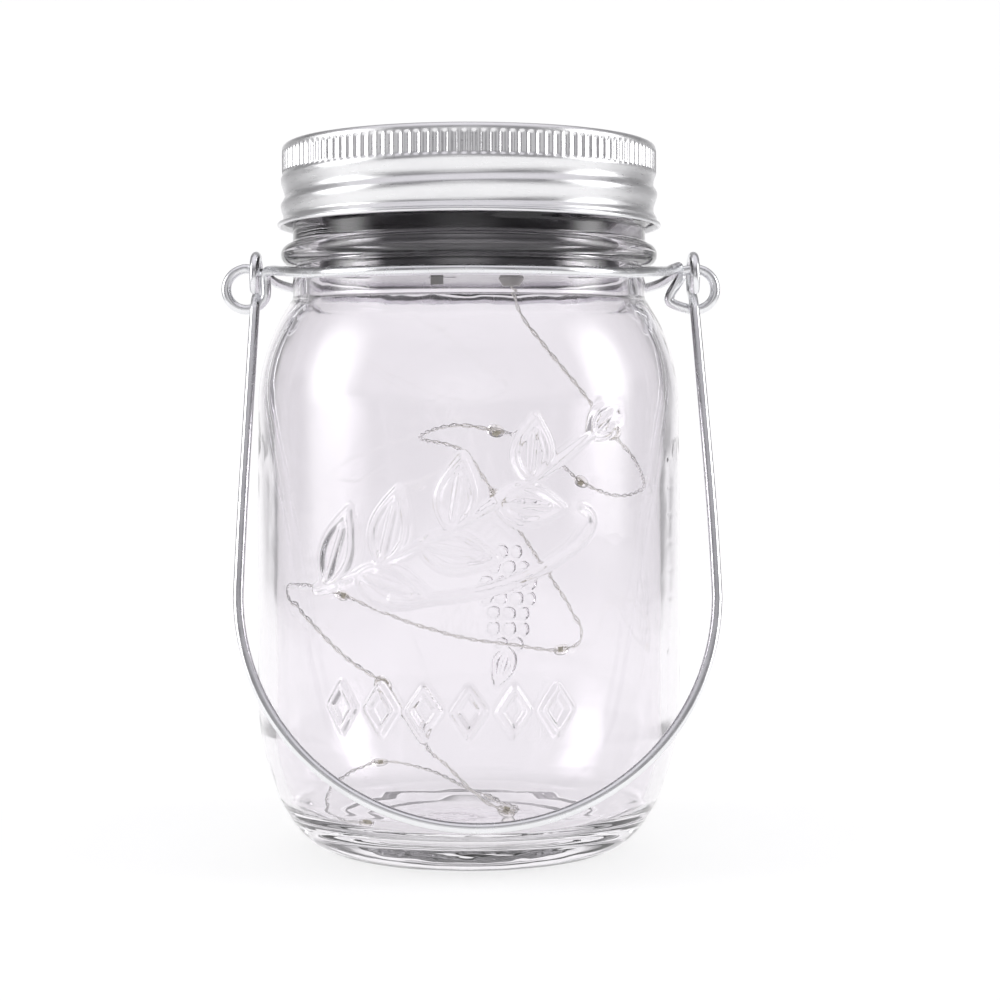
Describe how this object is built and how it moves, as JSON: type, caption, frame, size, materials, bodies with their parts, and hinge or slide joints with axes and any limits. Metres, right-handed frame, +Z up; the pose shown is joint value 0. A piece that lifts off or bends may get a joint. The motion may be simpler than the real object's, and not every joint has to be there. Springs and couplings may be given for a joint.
{
  "type": "mason jar lantern",
  "caption": "Clear glass screw-top jar with a wire neck ring and bail handle, closed by a knurled metal band over a solar lid from which a strand of small LEDs hangs.",
  "frame": {"origin": "centre of the jar's base, on the plane of the ring that it stands on", "axes": "+Z up along the jar's axis, +Y away from the side that the hanging bail leans on, +X to the right seen from the front"},
  "size_m": [0.0984, 0.0822, 0.136],
  "materials": {
    "clear_glass": "clear pressed soda-lime glass, faintly wavy",
    "ring_wire": "bright galvanised wire",
    "bail_wire": "bright galvanised wire",
    "tinplate": "satin tinplate with fine turning lines",
    "gasket_rubber": "matte silicone",
    "black_housing": "glossy black moulding",
    "panel_backing": "dark laminate",
    "silicon": "dark blue crystalline cells",
    "clear_resin": "clear cast resin",
    "screw_steel": "bright plated steel",
    "pcb": "green solder mask",
    "chip_plastic": "moulded epoxy",
    "choke_sleeve": "shrink sleeve",
    "cell_sleeve": "plain printed-free sleeve",
    "spring_steel": "nickel-plated spring steel",
    "slider_plastic": "moulded nylon",
    "gland_rubber": "soft black rubber",
    "lead_jacket": "PVC insulation",
    "strand_silver": "silver-coloured enamelled copper",
    "led_phosphor": "yellow phosphor",
    "led_epoxy": "clear epoxy drop"
  },
  "bodies": {
    "jar": {"glass_jar": "clear_glass", "neck_wire": "ring_wire"},
    "bail": {"bail_handle": "bail_wire"},
    "solar_lid": {"rim_gasket": "gasket_rubber", "lid_shell": "black_housing", "panel_board": "panel_backing", "solar_cells": "silicon", "panel_window": "clear_resin", "housing_base": "black_housing", "cover_screws": "screw_steel", "circuit_board": "pcb", "driver_chip": "chip_plastic", "choke_coil": "choke_sleeve", "battery_cell": "cell_sleeve", "battery_spring": "spring_steel", "battery_contacts": "spring_steel", "switch_case": "screw_steel", "strand_gland": "gland_rubber", "strand_leads": "strand_silver", "panel_leads": "lead_jacket", "strand_wire": "strand_silver", "led_chips": "led_phosphor", "led_drops": "led_epoxy"},
    "band": {"screw_band": "tinplate"},
    "switch": {"switch_slider": "slider_plastic"}
  },
  "joints": [
    {"name": "bail_swing", "type": "hinge", "parent": "jar", "child": "bail", "pos_m": [0, 0, 0.112], "axis": [-1, 0, 0], "range_deg": [0, 317.6]},
    {"name": "lid_lift", "type": "slide", "parent": "jar", "child": "solar_lid", "axis": [0, 0, 1], "range_m": [0, 0.00763]},
    {"name": "band_turn", "type": "hinge", "parent": "solar_lid", "child": "band", "pos_m": [0, 0, 0.128], "axis": [0, 0, 1], "range_deg": [0, 540]},
    {"name": "switch_slide", "type": "slide", "parent": "solar_lid", "child": "switch", "axis": [1, 0, 0], "range_m": [0, 0.002]}
  ],
  "couplings": [
    {"joint": "lid_lift", "follows": "band_turn", "m_per_rad": 0.00080851}
  ]
}
